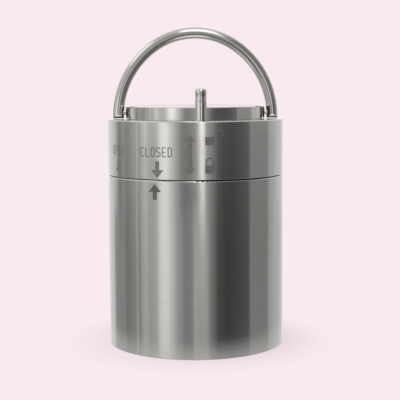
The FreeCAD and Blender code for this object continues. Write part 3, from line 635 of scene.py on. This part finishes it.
def studio_world():
    """A plain backdrop to the camera; soft boxes and flags, as bands of light, to the metal."""
    world = bpy.data.worlds.new("studio")
    bpy.context.scene.world = world
    world.use_nodes = True
    tree = world.node_tree
    tree.nodes.clear()
    direction = add(tree, "ShaderNodeTexCoord").outputs["Generated"]
    x, y, z = add(tree, "ShaderNodeSeparateXYZ", {0: direction}).outputs
    ahead = math_node(tree, "MULTIPLY", y, -1.0)
    azimuth = math_node(tree, "DEGREES", math_node(tree, "ARCTAN2", x, ahead))
    elevation = math_node(tree, "DEGREES", math_node(tree, "ARCSINE", z))
    off_front = math_node(tree, "ABSOLUTE", azimuth)

    # the main sheet on the left hangs in folds, so its edges waver with height
    folds = add(tree, "ShaderNodeTexNoise", {"W": elevation, "Scale": 0.75, "Detail": 2.0},
                noise_dimensions="1D").outputs["Fac"]
    from_sheet = math_node(tree, "ABSOLUTE", math_node(tree, "SUBTRACT", azimuth, SHEET_AZIMUTH))
    wavering = remap(tree, from_sheet, 8.0, 22.0, 8.0, 0.0)
    shift = math_node(tree, "MULTIPLY", math_node(tree, "SUBTRACT", folds, 0.5), wavering)
    hung = math_node(tree, "ADD", azimuth, shift)

    low = bands(tree, hung, LOW_LEFT, LOW_RIGHT)
    high = bands(tree, hung, HIGH_LEFT, HIGH_RIGHT)
    light = mix(tree, remap(tree, elevation, *LOW_TO_HIGH), low, high)
    extra = math_node(tree, "MULTIPLY", remap(tree, elevation, *TO_BRIGHTER_HIGH, 0.0, 0.4),
                      remap(tree, off_front, *BRIGHTER_SIDES, 1.0, 0.0))
    gain = math_node(tree, "ADD", extra, 1.0)
    light = add(tree, "ShaderNodeVectorMath", {0: light, 3: gain}, operation="SCALE").outputs[0]

    room = bands(tree, azimuth, ROOM_LEFT, ROOM_RIGHT)
    light = mix(tree, remap(tree, elevation, *HIGH_TO_ROOM), light, room)
    overhead = grey(OVERHEAD / LIGHT_SCALE)
    light = mix(tree, remap(tree, elevation, *ROOM_TO_OVERHEAD), light, overhead)
    for at, height, half_width, half_height, level in SOFT_BOXES:
        inside = soft_box(tree, direction, at, height, half_width, half_height)
        light = mix(tree, inside, light, grey(level / LIGHT_SCALE))
    under = mix(tree, remap(tree, off_front, *UNDER_SIDES), grey(UNDER_FRONT / LIGHT_SCALE),
                grey(UNDER_BACK / LIGHT_SCALE))
    light = mix(tree, remap(tree, elevation, *LOW_TO_UNDER), light, under)
    floor_light = grey(FLOOR_LIGHT / LIGHT_SCALE)
    light = mix(tree, remap(tree, elevation, *UNDER_TO_FLOOR), light, floor_light)

    # the backdrop itself, behind the object just over the horizon
    behind = math_node(tree, "MULTIPLY", remap(tree, off_front, *BACKDROP_SIDES),
                       remap(tree, elevation, *BACKDROP_FOOT))
    under_top = remap(tree, elevation, *BACKDROP_TOP, 1.0, 0.0)
    behind = math_node(tree, "MULTIPLY", behind, under_top)
    paper_light = tuple(BACKDROP_MIRRORED * c / LIGHT_SCALE for c in BACKDROP)
    light = mix(tree, behind, light, (*paper_light, 1))

    studio = add(tree, "ShaderNodeBackground", {"Color": light, "Strength": LIGHT_SCALE})
    paper = add(tree, "ShaderNodeBackground", {"Color": (*BACKDROP, 1), "Strength": 1.0})
    seen = add(tree, "ShaderNodeLightPath").outputs["Is Camera Ray"]
    chosen = add(tree, "ShaderNodeMixShader", {0: seen, 1: studio.outputs[0], 2: paper.outputs[0]})
    add(tree, "ShaderNodeOutputWorld", {"Surface": chosen.outputs[0]})


FLOOR_ALBEDO = (0.66, 0.575, 0.60)
FLOOR_R = 6.0
GLOW_R = 0.14
GLOW_LIFT = 0.0001       # above the floor
SHADOW_REACH = (0.055, 0.110)    # from the axis: the shadow's full share there, and none
GLOW_REACH = (0.060, 0.128)      # the same for the glow


def floor_material():
    """Paper that takes the object's soft shadow near it and is one with the backdrop further off."""
    material = bpy.data.materials.new("floor_paper")
    material.use_nodes = True
    tree = material.node_tree
    tree.nodes.clear()
    place = add(tree, "ShaderNodeTexCoord").outputs["Object"]
    reach = add(tree, "ShaderNodeVectorMath", {0: place}, operation="LENGTH").outputs["Value"]
    lit = add(tree, "ShaderNodeBsdfDiffuse", {"Color": (*FLOOR_ALBEDO, 1)})
    flat = add(tree, "ShaderNodeEmission", {"Color": (*BACKDROP, 1), "Strength": 1.0})
    away = remap(tree, reach, *SHADOW_REACH, 0.65, 1.0)
    chosen = add(tree, "ShaderNodeMixShader", {0: away, 1: lit.outputs[0], 2: flat.outputs[0]})
    add(tree, "ShaderNodeOutputMaterial", {"Surface": chosen.outputs[0]})
    return material


def floor_glow_material():
    """What the steel mirrors of the lit paper round the foot, fading out with distance."""
    material = bpy.data.materials.new("floor_glow")
    material.use_nodes = True
    tree = material.node_tree
    tree.nodes.clear()
    place = add(tree, "ShaderNodeTexCoord").outputs["Object"]
    reach = add(tree, "ShaderNodeVectorMath", {0: place}, operation="LENGTH").outputs["Value"]
    strength = remap(tree, reach, *GLOW_REACH, 0.42, 0.0)
    glow = add(tree, "ShaderNodeEmission", {"Color": grey(0.9), "Strength": 1.0})
    clear = add(tree, "ShaderNodeBsdfTransparent")
    chosen = add(tree, "ShaderNodeMixShader", {0: strength, 1: clear.outputs[0], 2: glow.outputs[0]})
    add(tree, "ShaderNodeOutputMaterial", {"Surface": chosen.outputs[0]})
    return material


def make_disc(name, radius, height, material):
    mesh = bpy.data.meshes.new(name)
    bm = bmesh.new()
    bmesh.ops.create_circle(bm, cap_ends=True, segments=96, radius=radius)
    bm.to_mesh(mesh)
    bm.free()
    mesh.materials.append(material)
    piece = bpy.data.objects.new(name, mesh)
    piece.location.z = height
    bpy.context.scene.collection.objects.link(piece)
    return piece


def make_floor():
    floor = make_disc("floor", FLOOR_R, 0.0, floor_material())
    floor.visible_glossy = False
    glow = make_disc("floor_glow", GLOW_R, GLOW_LIFT, floor_glow_material())
    glow.visible_camera = False
    glow.visible_diffuse = False
    glow.visible_shadow = False


OVERHEAD_PLACE = (-0.25, -0.45, 1.5)
OVERHEAD_SIZE = 1.6
OVERHEAD_WATTS = 12.0


def make_lights():
    """One broad soft box overhead and a little in front, for the floor and the matt pieces."""
    light = bpy.data.lights.new("overhead_softbox", "AREA")
    light.shape = "DISK"
    light.size = OVERHEAD_SIZE
    light.energy = OVERHEAD_WATTS
    softbox = bpy.data.objects.new("overhead_softbox", light)
    softbox.location = OVERHEAD_PLACE
    softbox.rotation_mode = "QUATERNION"
    softbox.rotation_quaternion = (-softbox.location).to_track_quat("-Z", "Y")
    softbox.visible_glossy = False
    bpy.context.scene.collection.objects.link(softbox)


# The camera stands 0.78 m in front at the height of the lid's pin and looks 6 degrees down.
CAMERA_PLACE = (0.0, -0.77945, 0.1861)
CAMERA_PAN = 0.230       # degrees towards +X
CAMERA_DIP = 6.063       # degrees below level
CAMERA_ROLL = -0.289     # degrees, counter-clockwise
CAMERA_LENS = 96.53
CAMERA_SENSOR = 36.0


def make_camera():
    data = bpy.data.cameras.new("camera")
    data.lens = CAMERA_LENS
    data.sensor_width = CAMERA_SENSOR
    data.clip_start = 0.05
    data.clip_end = 50.0
    camera = bpy.data.objects.new("camera", data)
    bpy.context.scene.collection.objects.link(camera)
    pan, dip = math.radians(CAMERA_PAN), math.radians(CAMERA_DIP)
    ahead = Vector((math.sin(pan) * math.cos(dip), math.cos(pan) * math.cos(dip), -math.sin(dip)))
    roll = Quaternion((0, 0, 1), math.radians(CAMERA_ROLL))
    camera.location = CAMERA_PLACE
    camera.rotation_mode = "QUATERNION"
    camera.rotation_quaternion = ahead.to_track_quat("-Z", "Y") @ roll
    bpy.context.scene.camera = camera


# ---- the scene --------------------------------------------------------------------------


bpy.context.scene.view_settings.view_transform = "Standard"
make_camera()
finish_nodes(all_materials())
all_marks()
studio_world()
make_floor()
make_lights()
